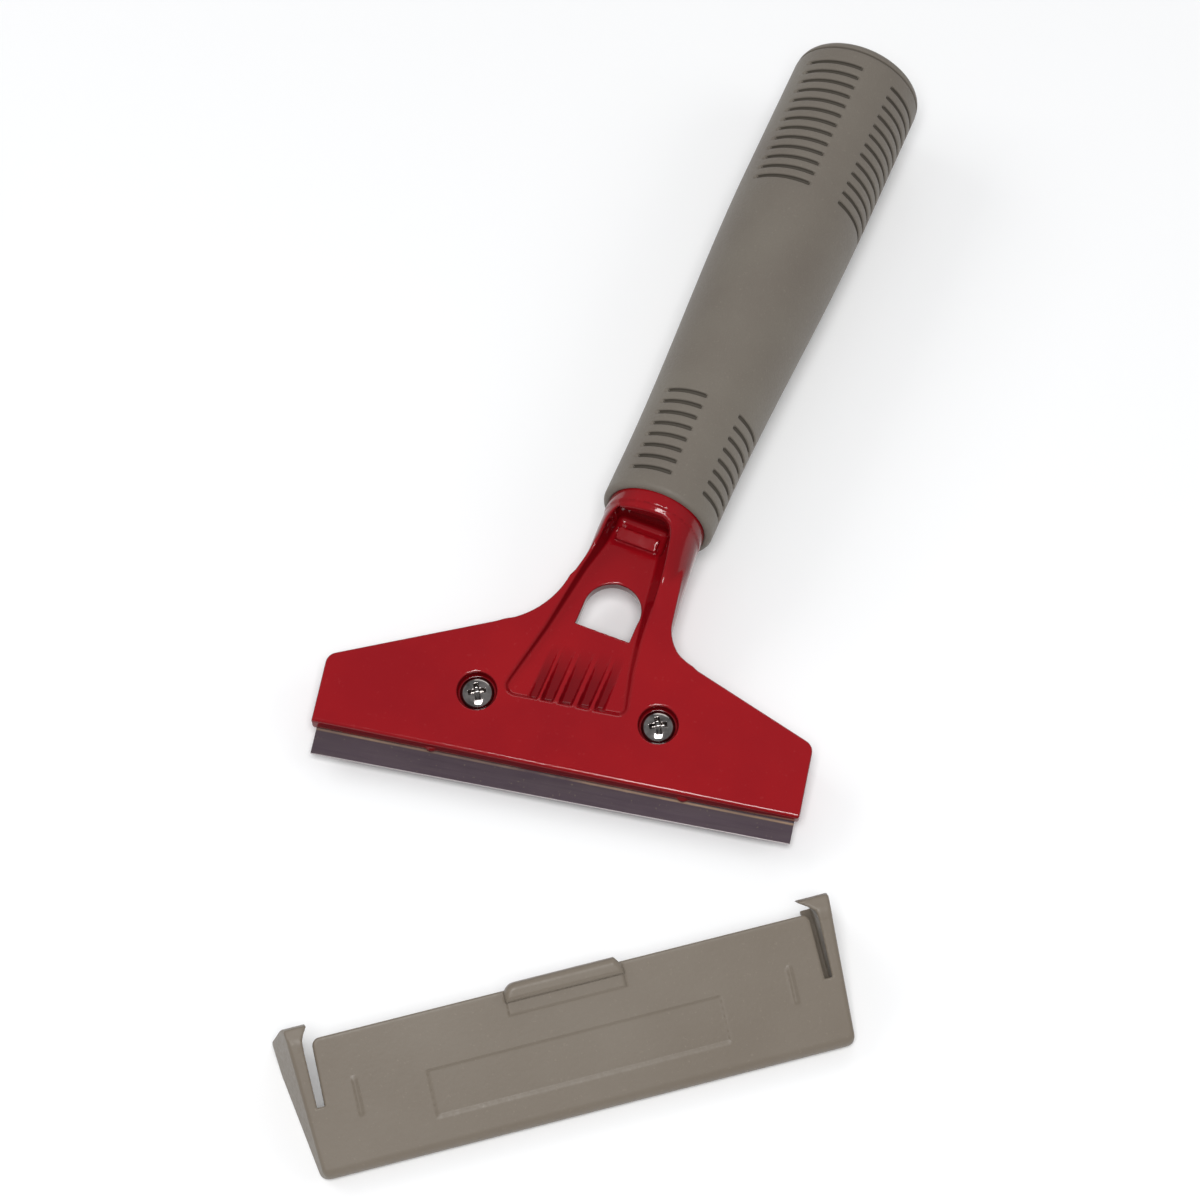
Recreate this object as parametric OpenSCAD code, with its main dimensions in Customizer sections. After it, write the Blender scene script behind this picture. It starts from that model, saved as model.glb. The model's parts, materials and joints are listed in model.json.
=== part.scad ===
// Hand floor scraper: a clamped steel blade in a cast head, a soft grip and a press-on guard.
// It lies face up: the pad behind the head and the belly of the grip touch z = 0.
// Head coordinates: x along the cutting edge, y up the head, z out of its front face.

/* [Blade] */
// length of the cutting edge
blade_w = 101.6; // [60:0.1:160]
// height of the blade, cutting edge to back edge
blade_h = 16.8; // [12:0.1:30]
// thickness of the blade
blade_t = 0.9; // [0.4:0.1:2]
// length of the ground bevel
bevel_l = 1.6; // [0.5:0.1:4]
// thickness left at the cutting edge
edge_t = 0.2; // [0.05:0.05:0.5]

/* [Head] */
// width of the jaw
jaw_w = 103.6; // [62:0.1:164]
// height of the lip above the cutting edge
lip_y = 5.9; // [3:0.1:12]
// height of the jaw's outer corners above the cutting edge
corner_y = 20.8; // [15:0.1:40]
// rise of the shoulders per unit of width
shoulder_slope = 0.44; // [0.2:0.01:0.8]
// thickness of the casting in front of the blade
jaw_t = 3.1; // [2:0.1:6]
// radius of the sweep from the left shoulder to the neck
left_sweep_r = 19; // [5:0.5:30]
// radius of the sweep from the right shoulder to the neck
right_sweep_r = 10; // [3:0.5:20]
// rise of the head's face from the surface it lies on
head_rise = 9; // [0:0.5:20]
// height of the cutting edge above that surface
edge_lift = 5.2; // [0:0.1:10]

/* [Neck and handle] */
// turn of the neck and handle within the head's plane
neck_turn = 10.3; // [0:0.1:20]
// bend of the handle behind the head's plane
handle_bend = 10; // [0:0.1:20]
// middle of the collar, along the blade
collar_x = 10.0; // [-10:0.1:20]
// middle of the collar, up the head
collar_y = 65.4; // [50:0.1:90]
// radius of the neck where it enters the grip
neck_r = 10.6; // [8:0.1:14]
// length of the grip
grip_l = 126; // [90:1:160]
// radius of the grip at the collar
grip_r0 = 12.35; // [10:0.05:18]
// radius of the grip at its thick end
grip_r1 = 14.8; // [10:0.05:20]
// length of the tang inside the grip
tang_l = 72; // [30:1:110]

/* [Clamp] */
// distance between the two clamp screws
screw_gap = 38.6; // [20:0.1:80]
// height of the clamp screws above the cutting edge
screw_y = 19.3; // [15:0.1:30]
// thread diameter of the clamp screws
screw_d = 4; // [3:0.5:6]
// diameter of the screw heads
screw_head_d = 6.6; // [5:0.1:10]
// diameter of the recesses round the screw heads
recess_d = 8.4; // [6:0.1:12]
// thickness of the clamp plate
clamp_t = 4.6; // [2:0.1:8]

/* [Guard] */
// outer width of the guard
guard_w = 110.7; // [105:0.1:120]
// thickness of the guard's walls
guard_wall = 1.4; // [1:0.1:3]
// slope of the guard's front panel against the blade
guard_slope = 16; // [8:0.5:25]
// slope of the guard's rear panel against the blade
guard_rake = 15.5; // [8:0.5:25]
// turn of the guard where it lies beside the scraper
guard_turn = 27.4; // [10:0.1:45]
// distance from the cutting edge to the guard that lies beside it
guard_off = 63; // [40:0.5:120]

/* [Output] */
// sub-part to show

/* [Hidden] */
$fn = 64;

red = [0.55, 0.09, 0.12];
steel = [0.33, 0.31, 0.34];
bright = [0.75, 0.75, 0.77];
taupe = [0.44, 0.41, 0.37];
guard_grey = [0.55, 0.51, 0.47];

// the origin is under the middle of the whole object, the cutting edge's middle is behind it by these
mid_x = 10.135;
mid_y = 49.871;

// the blade lies against the back of the jaw, with the clamp plate behind it
gap = 0.05;
blade_z = -jaw_t - gap;
clamp_z = blade_z - blade_t - gap;
recess_floor = -2.3;
head_h = 1.9;
nut_h = 2.6;
nut_r = 4.0;
rebate_y = 29.6;
// depth of the resting pad below the face, so that it just reaches the surface
pad_z = -jaw_t - (edge_lift + rebate_y * sin(head_rise)) / cos(head_rise);
// grip profile: slim at the collar, swelling to the thick end
swell_a = 10;
swell_b = 90;
cap_t = 123.2;
// the thick end of the grip touches the surface, which sets the collar's depth
belly_t = cap_t - 0.3;
axis_rise = cos(neck_turn) * cos(handle_bend) * sin(head_rise) - sin(handle_bend) * cos(head_rise);
belly_z = grip_r1 * sqrt(1 - axis_rise * axis_rise);
collar_z = (belly_z - belly_t * axis_rise - edge_lift - collar_y * sin(head_rise))
           / cos(head_rise) - jaw_t;
core_r = 7.6;
tang_r = 5.6;
pin_t = 40;
pin_d = 4;

// guard section, in head coordinates when it sits on the blade
guard_tip_y = -6.2;
guard_tip_z = -3.6;
guard_tip_r = 2.6;
guard_top_y = 19.0;
hook_top_y = 22.8;
// the rear panel stops short of the clamp nuts
guard_rear_y = 12.0;
guard_in = jaw_w / 2 + 1.4;
hook_in = jaw_w / 2 + 0.95;
slot_w = 2.1;
// centre of the rounded tip when the guard is on the blade, in the resting frame
tip_cy = guard_tip_y + guard_tip_r;
seat_x = 0.6;
seat_y = tip_cy * cos(head_rise) - (guard_tip_z + jaw_t) * sin(head_rise);
seat_z = edge_lift + tip_cy * sin(head_rise) + (guard_tip_z + jaw_t) * cos(head_rise);
// sideways place from which one swing about one axis, with no climb, brings it onto the blade
guard_x = seat_x + tan(guard_turn / 2) * (seat_y + guard_off - (seat_z - guard_tip_r) / tan((head_rise - guard_rake) / 2));

function smooth(x) = let (u = min(max(x, 0), 1)) u * u * (3 - 2 * u);
function grip_r(t) = grip_r0 + (grip_r1 - grip_r0) * smooth((t - swell_a) / (swell_b - swell_a));
function arc(c, r, a0, a1, n) = [for (i = [0:n]) let (a = a0 + (a1 - a0) * i / n) c + r * [cos(a), sin(a)]];
function shoulder(x) = corner_y + shoulder_slope * (jaw_w / 2 - abs(x));

module in_head() {
    translate([-mid_x, -mid_y, edge_lift]) rotate([head_rise, 0, 0]) translate([0, 0, jaw_t]) children();
}

module in_neck() {
    in_head() translate([collar_x, collar_y, 0]) rotate([0, 0, -neck_turn]) children();
}

// +Y runs along the handle from the collar, +Z out of its top
module in_handle() {
    in_head() translate([collar_x, collar_y, collar_z]) rotate([-handle_bend, 0, -neck_turn]) children();
}

// a revolved outline about the handle's axis: points are [radius, distance from the collar]
module turned(points) {
    in_handle() rotate([-90, 0, 0]) rotate_extrude($fn = 96) polygon(points);
}

module jaw_outline(inset = 0) {
    w = jaw_w / 2 - inset;
    low = 1.2;
    top = 2.6;
    sa = atan(shoulder_slope);
    neck_w = 17;
    polygon(concat(
        arc([w - low, lip_y + inset + low], low, -90, 0, 4),
        arc([w - top, corner_y - inset - top * tan((90 - sa) / 2) + 0.35], top, 0, 90 - sa, 5),
        [[neck_w, shoulder(neck_w) - inset], [-neck_w, shoulder(neck_w) - inset]],
        arc([-w + top, corner_y - inset - top * tan((90 - sa) / 2) + 0.35], top, 90 + sa, 180, 5),
        arc([-w + low, lip_y + inset + low], low, 180, 270, 4)));
}

// hollow corner at c between the directions a and b (b > a), rounded with radius r
function sweep(c, a, b, r, n) =
    let (half = (b - a) / 2, o = c + r / sin(half) * [cos(a + half), sin(a + half)])
    arc(o, r, a + 270, b + 90, n);

// the web between the shoulders and the neck
module neck_outline() {
    sa = atan(shoulder_slope);
    right = [17.2, shoulder(17.2)];
    left = [-8.0, shoulder(8.0)];
    polygon(concat(
        [[-30, 24], [30, 24]],
        sweep(right, -sa, 85, right_sweep_r, 6),
        [[17.9, 50], [-4.6, 50]],
        sweep(left, 74, 180 + sa, left_sweep_r, 8)));
}

module neck_shell() {
    hull() {
        in_handle() translate([0, -1.5, 0]) rotate([-90, 0, 0]) cylinder(r = neck_r, h = 1.5);
        in_neck() translate([-13.7, -32, pad_z + 0.3]) cube([26.2, 1, -pad_z - 0.4]);
    }
}

module head_recess() {
    // panel between the rims, its floor falling towards the collar
    in_neck() translate([0, -46, -1.3]) rotate([-2.9, 0, 0]) linear_extrude(20)
        polygon(concat(
            arc([8.0, 3.7], 2.2, -85, -5, 4),
            [[9.6, 22], [7.8, 42.2], [-7.6, 42.2], [-10.1, 22]],
            arc([-12.3, 0.4], 2.6, 168, 275, 4)));
    // cored-out end towards the handle
    in_handle() translate([0, -4, 1.4]) rotate([-90, 0, 0]) cylinder(r = 6.4, h = 7);
}

module head_ribs() {
    rib_pitch = 4.1;
    for (i = [0:5]) let (w = i == 0 ? 3.2 : 2.2)
        in_head() translate([-10.6 + i * rib_pitch - (w - 2.2) / 2, 20.6, -2.2])
            rotate([0, 0, -neck_turn]) translate([-w / 2, 0, 0]) cube([w, 13.4, 1.75]);
    // low step in front of the cored-out end
    in_neck() translate([-5.6, -6.8, -3.6]) rotate([90, 0, 90]) linear_extrude(9)
        polygon([[0, 0], [2.9, 0], [2.9, 1.5]]);
}

module head_window() {
    in_neck() translate([-1.1, -23, -20]) {
        cylinder(r = 6, h = 30);
        translate([-6, -5.2, 0]) cube([12, 5.2, 30]);
    }
}

module head_casting() {
    color(red) difference() {
        union() {
            difference() {
                union() {
                    // jaw and shoulders
                    in_head() translate([0, 0, -jaw_t]) linear_extrude(jaw_t) jaw_outline();
                    in_head() translate([0, 0, -jaw_t]) linear_extrude(jaw_t) neck_outline();
                    // stop behind the blade's back edge
                    in_head() translate([0, 0, -jaw_t - blade_t + 0.1]) linear_extrude(blade_t) intersection() {
                        jaw_outline();
                        translate([-60, blade_h + 0.15]) square([120, 60]);
                    }
                    // rebate wall, cut level at its foot as the resting pad
                    intersection() {
                        in_head() translate([-15, rebate_y, pad_z - 1]) cube([30, 3.2, -pad_z]);
                        translate([-100, -100, 0]) cube(200);
                    }
                    neck_shell();
                }
                head_recess();
                // the back of the neck is cored out to a thin web
                in_neck() translate([-1.2, 0, 0]) hull() {
                    translate([0, -29, -22]) linear_extrude(17.6)
                        polygon([[-11.2, 0], [10.8, 0], [10.2, 4], [-10.6, 4]]);
                    translate([0, -13, -22]) linear_extrude(14.8)
                        polygon([[-7.0, 0], [8.2, 0], [8.0, 2], [-6.8, 2]]);
                }
            }
            head_ribs();
            // two small nubs under the lip
            for (x = [-26.3, 27.2]) in_head() translate([x, lip_y, -jaw_t]) cylinder(r = 1.5, h = 1.6, $fn = 24);
        }
        head_window();
        for (s = [-1, 1]) in_head() translate([s * screw_gap / 2, screw_y, 0]) {
            translate([0, 0, recess_floor]) cylinder(d = recess_d, h = 5);
            translate([0, 0, -10]) cylinder(d = screw_d + 0.1, h = 10);
        }
    }
    // tube and tang inside the grip
    color(red) difference() {
        turned([[0, 2.8], [neck_r - 4.0, 2.8], [neck_r - 4.0, -1.4], [neck_r - 0.02, -1.4],
                [neck_r - 0.02, 4.4], [tang_r, 4.4], [tang_r, tang_l], [0, tang_l]]);
        pin_hole(pin_d);
    }
}

module clamp_plate() {
    w = jaw_w / 2 - 0.4;
    color(red) difference() {
        in_head() translate([0, 0, clamp_z - clamp_t]) linear_extrude(clamp_t) intersection() {
            jaw_outline(0.4);
            translate([-60, 0]) square([120, rebate_y - 0.4]);
        }
        // ground-off front edge behind the blade
        in_head() translate([-60, 0, clamp_z - clamp_t]) rotate([90, 0, 90]) linear_extrude(120)
            polygon([[-1, -1], [16.6, -1], [lip_y - 1, clamp_t - 1.4], [-1, clamp_t - 1.4]]);
        for (s = [-1, 1]) in_head() translate([s * screw_gap / 2, screw_y, clamp_z - clamp_t]) {
            translate([0, 0, -1]) cylinder(r = nut_r + 0.15, h = 2.6, $fn = 6);
            cylinder(d = screw_d + 0.3, h = clamp_t + 1);
        }
    }
}

module blade() {
    color(steel) in_head() translate([-blade_w / 2, 0, blade_z]) rotate([90, 0, 90]) linear_extrude(blade_w)
        polygon([[0, 0], [blade_h, 0], [blade_h, -blade_t], [bevel_l, -blade_t], [0, -edge_t]]);
}

module clamp_screw(s) {
    color(bright) in_head() translate([s * screw_gap / 2, screw_y, recess_floor]) difference() {
        rotate_extrude() polygon(concat(
            [[0, -8.4], [screw_d / 2 - 0.5, -8.4], [screw_d / 2 - 0.02, -7.9], [screw_d / 2 - 0.02, 0.02]],
            [[screw_head_d / 2, 0.02], [screw_head_d / 2, 0.7]],
            [for (a = [15:15:90]) [screw_head_d / 2 * cos(a), 0.7 + (head_h - 0.7) * sin(a)]]));
        // cross recess
        for (a = [20, 110]) rotate([0, 0, a]) translate([-1.6, -0.42, 0.75]) cube([3.2, 0.84, 3]);
    }
}

module clamp_screw_left() { clamp_screw(-1); }

module clamp_screw_right() { clamp_screw(1); }

module clamp_nut(s) {
    color(bright) in_head() translate([s * screw_gap / 2, screw_y, clamp_z - clamp_t + 1.6 - nut_h]) difference() {
        cylinder(r = nut_r, h = nut_h, $fn = 6);
        translate([0, 0, -1]) cylinder(r = screw_d / 2 + 0.03, h = nut_h + 2);
    }
}

module clamp_nut_left() { clamp_nut(-1); }

module clamp_nut_right() { clamp_nut(1); }

module pin_hole(d) {
    in_handle() translate([0, pin_t, -30]) cylinder(d = d, h = 60);
}

module handle_core() {
    color([0.16, 0.16, 0.17]) difference() {
        turned([[tang_r + 0.02, 4.6], [core_r, 4.6], [core_r + 1.2, 12], [core_r + 2.6, 80],
                [core_r + 2.6, cap_t - 4], [0, cap_t - 4], [0, tang_l + 1], [tang_r + 0.02, tang_l + 1]]);
        pin_hole(pin_d);
    }
}

module groove_row(t0, pitch, count, width, centre) {
    in_handle() rotate([-90, 0, 0]) rotate([0, 0, centre - width / 2 - 90])
        rotate_extrude(angle = width, $fn = 96)
            for (i = [0:count - 1]) let (t = t0 + i * pitch)
                translate([grip_r(t) - 0.8, t - 0.55]) square([2, 1.1]);
}

module grip_sleeve() {
    ts = [2.2, 10, 22, 34, 46, 58, 70, 80, 90];
    color(taupe) difference() {
        turned(concat(
            [[neck_r + 0.02, 0.15], [grip_r0 - 1.0, 0.15]],
            [for (a = [-60:30:0]) [grip_r0 - 1 + cos(a), 1.15 + sin(a)]],
            [for (t = ts) [grip_r(t), t]],
            [[grip_r1, cap_t - 0.3], [grip_r1 - 0.3, cap_t]],
            [[core_r + 4.2, cap_t], [core_r + 4.2, cap_t - 4.02]],
            [[core_r + 2.66, cap_t - 4.02], [core_r + 2.66, 80], [core_r + 1.26, 12], [core_r + 0.06, 4.5]],
            [[neck_r + 0.02, 4.5]]));
        // finger grooves, in two blocks of four rows
        for (a = [-19.5, 64.5, 160.5, 244.5]) {
            groove_row(4.1, 2.97, 8, 47, a);
            groove_row(84.6, 2.86, 13, 55, a);
        }
    }
}

module butt_cap() {
    r = grip_r1 - 0.1;
    e = 2.4;
    color(taupe) turned(concat(
        [[0, cap_t - 3.9], [core_r + 4.1, cap_t - 3.9], [core_r + 4.1, cap_t + 0.1], [r - 0.3, cap_t + 0.1]],
        [[r, cap_t + 0.4]],
        [for (a = [15:15:90]) [r - e + e * cos(a), grip_l - e + e * sin(a)]],
        [[0, grip_l]]));
}

module tang_pin() {
    color(bright) in_handle() translate([0, pin_t, -core_r + 0.4]) cylinder(d = pin_d - 0.04, h = 2 * core_r - 0.8);
}

// side outline of the guard: [y, z] in head coordinates, moved inwards by w
module guard_side(w, top) {
    tip = arc([tip_cy, guard_tip_z], guard_tip_r - w, 90 + guard_slope, 270 - guard_rake, 10);
    first = tip[0];
    last = tip[10];
    polygon(concat(
        [[top, first[1] + (top - first[0]) * tan(guard_slope)]],
        tip,
        [[top, last[1] - (top - last[0]) * tan(guard_rake)]]));
}

module guard_slab(x, w, inward, top) {
    translate([x, 0, 0]) rotate([90, 0, 90]) linear_extrude(w) guard_side(inward, top);
}

// the guard as it sits on the blade, in head coordinates
module guard_seated() {
    side_w = guard_w / 2 - guard_in;
    front_z = guard_tip_z + guard_tip_r + (guard_top_y - tip_cy) * tan(guard_slope);
    difference() {
        union() {
            difference() {
                guard_slab(-guard_w / 2, guard_w, 0, guard_top_y);
                guard_slab(-guard_in, 2 * guard_in, guard_wall, 40);
                // the rear panel is lower than the front one
                translate([-guard_in, guard_rear_y, -30]) cube([2 * guard_in, 40, 26]);
            }
            for (s = [-1, 1]) {
                // end clips, higher than the panels, with a hook along the top
                guard_slab(s > 0 ? guard_in : -guard_w / 2, side_w, 0, hook_top_y);
                intersection() {
                    guard_slab(s > 0 ? hook_in : -guard_w / 2, guard_w / 2 - hook_in, 0, hook_top_y);
                    translate([-60, corner_y + 0.4, -40]) cube([120, 40, 80]);
                }
            }
            // thumb bar
            translate([-11.5, 17.2, front_z - 0.9]) rotate([0, 90, 0]) cylinder(r = 2.5, h = 23);
        }
        // slots that free the end clips
        for (s = [-1, 1]) translate([s > 0 ? guard_in - slot_w : -guard_in, 5.5, -8]) cube([slot_w, 40, 40]);
    }
}

// the guard lies on its rear panel beside the scraper
module guard() {
    color(guard_grey) translate([guard_x - mid_x, -guard_off - mid_y, guard_tip_r]) rotate([guard_rake, 0, guard_turn])
        translate([0, -tip_cy, -guard_tip_z]) guard_seated();
}

head_casting();
clamp_plate();
blade();
clamp_screw_left();
clamp_screw_right();
clamp_nut_left();
clamp_nut_right();
handle_core();
grip_sleeve();
butt_cap();
tang_pin();
guard();
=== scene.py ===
"""Looks of a hand floor scraper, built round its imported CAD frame.

Lengths in the shape functions are millimetres. HEAD_MM, HANDLE_MM and GUARD_MM turn them into metres in
the part's own frame. Head frame: x along the cutting edge, y up the head, z out of its face. Handle frame:
y along the handle from the collar, z out of its top. Guard frame: the head frame moved sideways by SEAT_X,
once the guard is pressed on.
"""

import json
import math

import bpy
import numpy as np
from mathutils import Matrix, Vector


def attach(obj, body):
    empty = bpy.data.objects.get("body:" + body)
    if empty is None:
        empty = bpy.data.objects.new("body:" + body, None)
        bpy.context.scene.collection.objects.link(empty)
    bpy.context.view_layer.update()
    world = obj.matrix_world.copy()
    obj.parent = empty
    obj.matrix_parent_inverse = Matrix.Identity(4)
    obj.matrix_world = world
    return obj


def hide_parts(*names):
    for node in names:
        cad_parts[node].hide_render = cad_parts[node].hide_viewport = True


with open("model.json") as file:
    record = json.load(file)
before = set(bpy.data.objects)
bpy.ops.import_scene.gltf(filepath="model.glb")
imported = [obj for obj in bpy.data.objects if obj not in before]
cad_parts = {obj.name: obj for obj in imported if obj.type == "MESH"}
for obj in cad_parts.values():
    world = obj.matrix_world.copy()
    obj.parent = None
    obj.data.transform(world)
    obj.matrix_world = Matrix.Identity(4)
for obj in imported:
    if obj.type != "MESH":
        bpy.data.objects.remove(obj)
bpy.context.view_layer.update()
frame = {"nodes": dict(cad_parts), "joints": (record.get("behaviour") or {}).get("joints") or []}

MM = 0.001
JOINTS = {j["name"]: j for j in frame["joints"]}

# --- sizes, in millimetres ------------------------------------------------------------------------
JAW_HALF = 51.8
LIP_Y = 4.9
LIP_SKEW = 0.011
CLAMP_LIP_Y = 5.9
CORNER_Y = 20.8
SHOULDER_SLOPE = 0.44
JAW_T = 3.1
REBATE_Y = 29.6
SCREW_Y = 19.3
SCREW_HALF_GAP = 19.3
RECESS_R = 4.2
RECESS_FLOOR = -2.3
NECK_TURN = math.radians(10.3)
HANDLE_BEND = math.radians(10.0)
COLLAR = (10.0, 65.4)
NECK_R = 10.6
PANEL_FOOT = 20.2
GRIP_R0, GRIP_R1 = 12.35, 14.8
SWELL = (10.0, 90.0)
SLEEVE_MOUTH = -0.9
CAP_T, GRIP_L = 123.2, 126.0
REST_T = CAP_T - 0.3
BLADE_HALF, BLADE_H, BLADE_T = 50.8, 16.8, 0.9
BLADE_Z = -JAW_T - 0.05
CLAMP_Z = BLADE_Z - BLADE_T - 0.05
CLAMP_T = 4.6
NUT_R, NUT_H = 4.0, 2.6
THREAD_PITCH = 0.7
GUARD_HALF = 54.9
GUARD_FLARE, GUARD_LEAN, CLIP_RISE = 0.12, 0.042, 0.3
PANEL_TOP, PANEL_EDGE = 20.65, 51.3
SLOT_FOOT, HOOK_TOP = 7.65, 23.2
GUARD_IN = JAW_HALF + 1.4
GUARD_WALL = 1.4
REAR_TOP = 12.0
GUARD_SLOPE = math.radians(16.0)
GUARD_RAKE = math.radians(15.5)
TIP_Y, TIP_Z, TIP_R = -3.6, -3.6, 2.6
SEAT_X = 0.6
GRID = 0.42

# --- frames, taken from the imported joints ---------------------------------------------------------
HEAD_Z = Vector(JOINTS["screw_left_spin"]["axis"]).normalized()
HEAD_Y = -Vector(JOINTS["blade_slide"]["axis"]).normalized()
HEAD_X = HEAD_Y.cross(HEAD_Z)
left_screw, right_screw = (Vector(JOINTS[f"screw_{side}_spin"]["pos_m"]) for side in ("left", "right"))
between_screws = (left_screw + right_screw) / 2
head_origin = between_screws - HEAD_Y * SCREW_Y * MM - HEAD_Z * RECESS_FLOOR * MM
HEAD = Matrix.Translation(head_origin) @ Matrix((HEAD_X, HEAD_Y, HEAD_Z)).transposed().to_4x4()
HEAD_MM = HEAD @ Matrix.Scale(MM, 4)


def collar_height():
    """Height of the collar's middle in the head frame: the grip's thick end rests on the floor."""
    along = HEAD.to_3x3() @ (
        Matrix.Rotation(-NECK_TURN, 3, "Z") @ Matrix.Rotation(-HANDLE_BEND, 3, "X") @ Vector((0, 1, 0))
    )
    rise = along.z
    middle = GRIP_R1 * math.sqrt(1 - rise * rise) - REST_T * rise
    flat = HEAD_MM @ Vector((COLLAR[0], COLLAR[1], 0))
    return (middle - flat.z / MM) / HEAD_Z.z


COLLAR_Z = collar_height()
HANDLE_IN_HEAD = (
    Matrix.Translation((COLLAR[0], COLLAR[1], COLLAR_Z))
    @ Matrix.Rotation(-NECK_TURN, 4, "Z")
    @ Matrix.Rotation(-HANDLE_BEND, 4, "X")
)
HANDLE_MM = HEAD_MM @ HANDLE_IN_HEAD

swing = JOINTS["guard_swing"]
swing_back = Matrix.Rotation(-math.radians(swing["range_deg"][1]), 4, Vector(swing["axis"]))
pivot = Matrix.Translation(swing["pos_m"])
GUARD_MM = pivot @ swing_back @ pivot.inverted() @ HEAD_MM @ Matrix.Translation((SEAT_X, 0, 0))


# --- distance fields ------------------------------------------------------------------------------
def union(a, b, r=0.0):
    """Union of two signed distances, with a fillet of radius r."""
    if not r:
        return np.minimum(a, b)
    u, v = np.maximum(r - a, 0), np.maximum(r - b, 0)
    return np.maximum(r, np.minimum(a, b)) - np.sqrt(u * u + v * v)


def common(a, b, r=0.0):
    """Intersection of two signed distances, with the edge rounded to radius r."""
    return -union(-a, -b, r)


def cut(a, b, r=0.0):
    return common(a, -b, r)


def outline(x, y, points):
    """Signed distance to a closed outline."""
    x, y = np.broadcast_arrays(x, y)
    best = np.full(x.shape, 1e9)
    inside = np.zeros(x.shape, bool)
    for (ax, ay), (bx, by) in zip(points, points[1:] + points[:1]):
        ex, ey = bx - ax, by - ay
        px, py = x - ax, y - ay
        t = np.clip((px * ex + py * ey) / (ex * ex + ey * ey), 0, 1)
        best = np.minimum(best, (px - t * ex) ** 2 + (py - t * ey) ** 2)
        crosses = (ay > y) != (by > y)
        with np.errstate(divide="ignore", invalid="ignore"):
            side = x < ax + (y - ay) * ex / ey
        inside ^= crosses & side
    return np.where(inside, -1, 1) * np.sqrt(best)


def stadium(x, y, a, b, r):
    """Signed distance to a strip with round ends from a to b."""
    ex, ey = b[0] - a[0], b[1] - a[1]
    px, py = x - a[0], y - a[1]
    t = np.clip((px * ex + py * ey) / (ex * ex + ey * ey), 0, 1)
    return np.hypot(px - t * ex, py - t * ey) - r


def box(x, y, z, low, high, r=0.0):
    """Signed distance to a box with edges rounded to r."""
    d = [
        np.abs(q - (lo + hi) / 2) - ((hi - lo) / 2 - r)
        for q, lo, hi in zip((x, y, z), low, high)
    ]
    outer = np.sqrt(sum(np.maximum(q, 0) ** 2 for q in d))
    return outer + np.minimum(np.maximum(np.maximum(d[0], d[1]), d[2]), 0) - r


def hexagon(x, y, r):
    """Signed distance to a hexagon whose corners lie at radius r."""
    d = np.full(np.broadcast(x, y).shape, -1e9)
    for k in range(6):
        a = math.radians(30 + 60 * k)
        d = np.maximum(d, x * math.cos(a) + y * math.sin(a))
    return d - r * math.cos(math.radians(30))


def arc(cx, cy, r, a0, a1, n=6):
    """Points of an arc between the directions a0 and a1, in degrees."""
    angles = [math.radians(a0 + (a1 - a0) * i / n) for i in range(n + 1)]
    return [(cx + r * math.cos(a), cy + r * math.sin(a)) for a in angles]


def smooth(x):
    """Smooth step from 0 at x = 0 to 1 at x = 1."""
    x = np.clip(x, 0, 1)
    return x * x * (3 - 2 * x)


# --- meshes ---------------------------------------------------------------------------------------
def surface_nets(shape, field, low, step):
    """Closed quad mesh round the negative part of a sampled distance field.

    Each vertex lies on the planes of the surface that cross its cell, so that edges stay sharp.
    """
    stride = np.array((field.shape[1] * field.shape[2], field.shape[2], 1))
    neg = field < 0
    points, quads = [], []
    for axis in range(3):
        first = [slice(None)] * 3
        second = [slice(None)] * 3
        first[axis], second[axis] = slice(0, -1), slice(1, None)
        point = np.argwhere(neg[tuple(first)] != neg[tuple(second)]).astype(float)
        start = (point @ stride).astype(int)
        f0, f1 = field.ravel()[start], field.ravel()[start + stride[axis]]
        point[:, axis] += f0 / (f0 - f1)
        b, c = stride[(axis + 1) % 3], stride[(axis + 2) % 3]
        quad = np.stack([start - db * b - dc * c for db, dc in ((1, 1), (0, 1), (0, 0), (1, 0))], 1)
        quad[f0 > 0] = quad[f0 > 0][:, ::-1]
        points.append(point)
        quads.append(quad)
    points = np.concatenate(points) * step + low
    cells, quads = np.unique(np.concatenate(quads), return_inverse=True)
    quads = quads.reshape(-1, 4)

    def total(values):
        return np.bincount(quads.ravel(), weights=np.repeat(values, 4), minlength=len(cells))

    n = gradient(shape, points, step * 0.05)
    n /= np.maximum(np.linalg.norm(n, axis=1), 1e-9)[:, None]
    level = (n * points).sum(1)
    pull = 0.05
    middle = np.stack([total(points[:, k]) for k in range(3)], 1) / total(np.ones(len(points)))[:, None]
    planes = np.array([[total(n[:, i] * n[:, j]) for j in range(3)] for i in range(3)]).transpose(2, 0, 1)
    aim = np.stack([total(n[:, k] * level) for k in range(3)], 1) + pull * middle
    found = np.linalg.solve(planes + pull * np.eye(3), aim[..., None])[..., 0]
    corner = np.stack(np.unravel_index(cells, field.shape), 1) * step + low
    return np.clip(found, corner, corner + step), quads


def gradient(shape, p, h):
    """Slope of a distance function at the points p, over a distance h to either side."""
    g = np.empty_like(p)
    for k in range(3):
        up, down = p.copy(), p.copy()
        up[:, k] += h
        down[:, k] -= h
        g[:, k] = shape(*up.T) - shape(*down.T)
    return g / (2 * h)


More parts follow.
